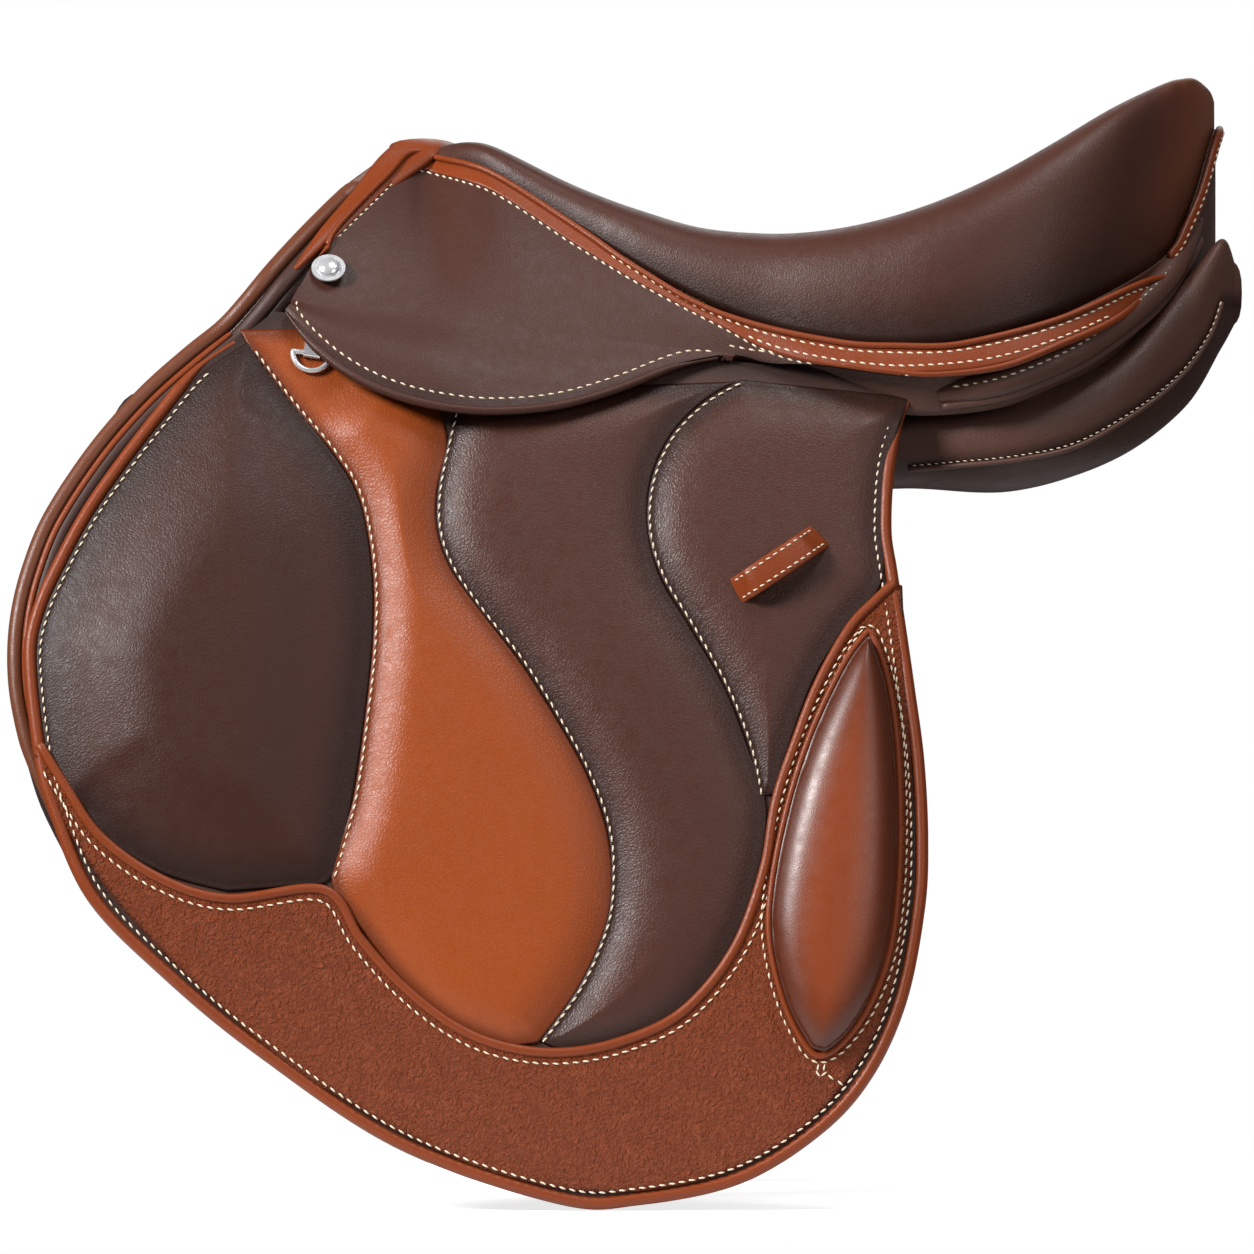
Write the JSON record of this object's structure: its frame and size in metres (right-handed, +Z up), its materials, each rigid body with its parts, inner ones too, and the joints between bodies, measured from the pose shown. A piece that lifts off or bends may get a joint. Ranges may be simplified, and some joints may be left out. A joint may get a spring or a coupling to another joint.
{
  "type": "jumping saddle",
  "caption": "Close-contact jumping saddle with a deep seat on a spring tree, lifting flaps with knee and thigh blocks, billets, stirrup bars and stuffed panels.",
  "frame": {"origin": "on the middle line, at the height where the panels bear under the rider", "axes": "+X towards the cantle, +Y towards the off (right) side, +Z up"},
  "size_m": [0.5924, 0.4264, 0.5425],
  "materials": {
    "dark_leather": "smooth dark brown leather, low sheen",
    "tan_leather": "smooth tan leather, burnished",
    "grained_leather": "tan leather with a pebble grain",
    "chrome": "polished",
    "steel": "forged, plain",
    "wood": "laminated beech, sealed",
    "foam": "soft foam",
    "webbing": "woven linen web"
  },
  "bodies": {
    "saddle": {"front_arch": "wood", "gullet_plate": "steel", "head_plate": "steel", "left_rail": "wood", "right_rail": "wood", "cantle_board": "wood", "tree_rivets": "steel", "seat_webbing": "webbing", "seat_pad": "foam", "seat_cover": "dark_leather", "cantle_facing": "dark_leather", "cantle_binding": "tan_leather", "pommel_band": "tan_leather", "girth_webbing": "webbing", "right_welt": "tan_leather", "right_skirt": "dark_leather", "right_saddle_nail": "chrome", "right_stirrup_bar": "steel", "right_sweat_flap": "dark_leather", "right_panel": "dark_leather", "right_rear_roll": "dark_leather", "left_welt": "tan_leather", "left_skirt": "dark_leather", "left_saddle_nail": "chrome", "left_stirrup_bar": "steel", "left_sweat_flap": "dark_leather", "left_panel": "dark_leather", "left_rear_roll": "dark_leather"},
    "right_flap": {"right_flap": "tan_leather", "right_flap_binding": "tan_leather", "right_knee_block": "dark_leather", "right_front_swoosh": "tan_leather", "right_middle_panel": "dark_leather", "right_rear_panel": "dark_leather", "right_lower_guard": "grained_leather", "right_thigh_block": "tan_leather", "right_keeper_loop": "tan_leather", "right_dee_clip": "chrome"},
    "right_lobe": {"right_skirt_lobe": "dark_leather"},
    "right_dee": {"right_dee_ring": "chrome"},
    "right_catch": {"right_bar_catch": "steel"},
    "right_billet_front": {"right_billet_front": "dark_leather"},
    "right_billet_middle": {"right_billet_middle": "dark_leather"},
    "right_billet_rear": {"right_billet_rear": "dark_leather"},
    "left_flap": {"left_flap": "tan_leather", "left_flap_binding": "tan_leather", "left_knee_block": "dark_leather", "left_front_swoosh": "tan_leather", "left_middle_panel": "dark_leather", "left_rear_panel": "dark_leather", "left_lower_guard": "grained_leather", "left_thigh_block": "tan_leather", "left_keeper_loop": "tan_leather", "left_dee_clip": "chrome"},
    "left_lobe": {"left_skirt_lobe": "dark_leather"},
    "left_dee": {"left_dee_ring": "chrome"},
    "left_catch": {"left_bar_catch": "steel"},
    "left_billet_front": {"left_billet_front": "dark_leather"},
    "left_billet_middle": {"left_billet_middle": "dark_leather"},
    "left_billet_rear": {"left_billet_rear": "dark_leather"}
  },
  "joints": [
    {"name": "right_flap_lift", "type": "hinge", "parent": "saddle", "child": "right_flap", "pos_m": [0, 0.114, 0.076], "axis": [0.9925, 0, -0.1219], "range_deg": [0, 70]},
    {"name": "right_lobe_lift", "type": "hinge", "parent": "right_flap", "child": "right_lobe", "pos_m": [0, 0.114, 0.076], "axis": [0.9925, 0, -0.1219], "range_deg": [0, 40]},
    {"name": "right_dee_swing", "type": "hinge", "parent": "right_flap", "child": "right_dee", "pos_m": [-0.15188, 0.12453, 0.07088], "axis": [0.9925, 0, -0.1219], "range_deg": [0, 30]},
    {"name": "right_catch_flip", "type": "hinge", "parent": "saddle", "child": "right_catch", "pos_m": [-0.05612, 0.11203, 0.06043], "axis": [-0.0534, -0.8988, -0.4351], "range_deg": [0, 75]},
    {"name": "right_billet_front_swing", "type": "hinge", "parent": "saddle", "child": "right_billet_front", "pos_m": [-0.034, 0.12061, 0.036], "axis": [0, 0.9331, 0.3597], "range_deg": [-2, 2]},
    {"name": "right_billet_middle_swing", "type": "hinge", "parent": "saddle", "child": "right_billet_middle", "pos_m": [0.016, 0.11824, 0.036], "axis": [0, 0.9314, 0.3641], "range_deg": [-2, 2]},
    {"name": "right_billet_rear_swing", "type": "hinge", "parent": "saddle", "child": "right_billet_rear", "pos_m": [0.066, 0.11584, 0.036], "axis": [0, 0.9296, 0.3685], "range_deg": [-2, 2]},
    {"name": "left_flap_lift", "type": "hinge", "parent": "saddle", "child": "left_flap", "pos_m": [0, -0.114, 0.076], "axis": [-0.9925, 0, 0.1219], "range_deg": [0, 70]},
    {"name": "left_lobe_lift", "type": "hinge", "parent": "left_flap", "child": "left_lobe", "pos_m": [0, -0.114, 0.076], "axis": [-0.9925, 0, 0.1219], "range_deg": [0, 40]},
    {"name": "left_dee_swing", "type": "hinge", "parent": "left_flap", "child": "left_dee", "pos_m": [-0.15188, -0.12453, 0.07088], "axis": [-0.9925, 0, 0.1219], "range_deg": [0, 30]},
    {"name": "left_catch_flip", "type": "hinge", "parent": "saddle", "child": "left_catch", "pos_m": [-0.05612, -0.11203, 0.06043], "axis": [0.0534, -0.8988, 0.4351], "range_deg": [0, 75]},
    {"name": "left_billet_front_swing", "type": "hinge", "parent": "saddle", "child": "left_billet_front", "pos_m": [-0.034, -0.12061, 0.036], "axis": [0, 0.9331, -0.3597], "range_deg": [-2, 2]},
    {"name": "left_billet_middle_swing", "type": "hinge", "parent": "saddle", "child": "left_billet_middle", "pos_m": [0.016, -0.11824, 0.036], "axis": [0, 0.9314, -0.3641], "range_deg": [-2, 2]},
    {"name": "left_billet_rear_swing", "type": "hinge", "parent": "saddle", "child": "left_billet_rear", "pos_m": [0.066, -0.11584, 0.036], "axis": [0, 0.9296, -0.3685], "range_deg": [-2, 2]}
  ]
}
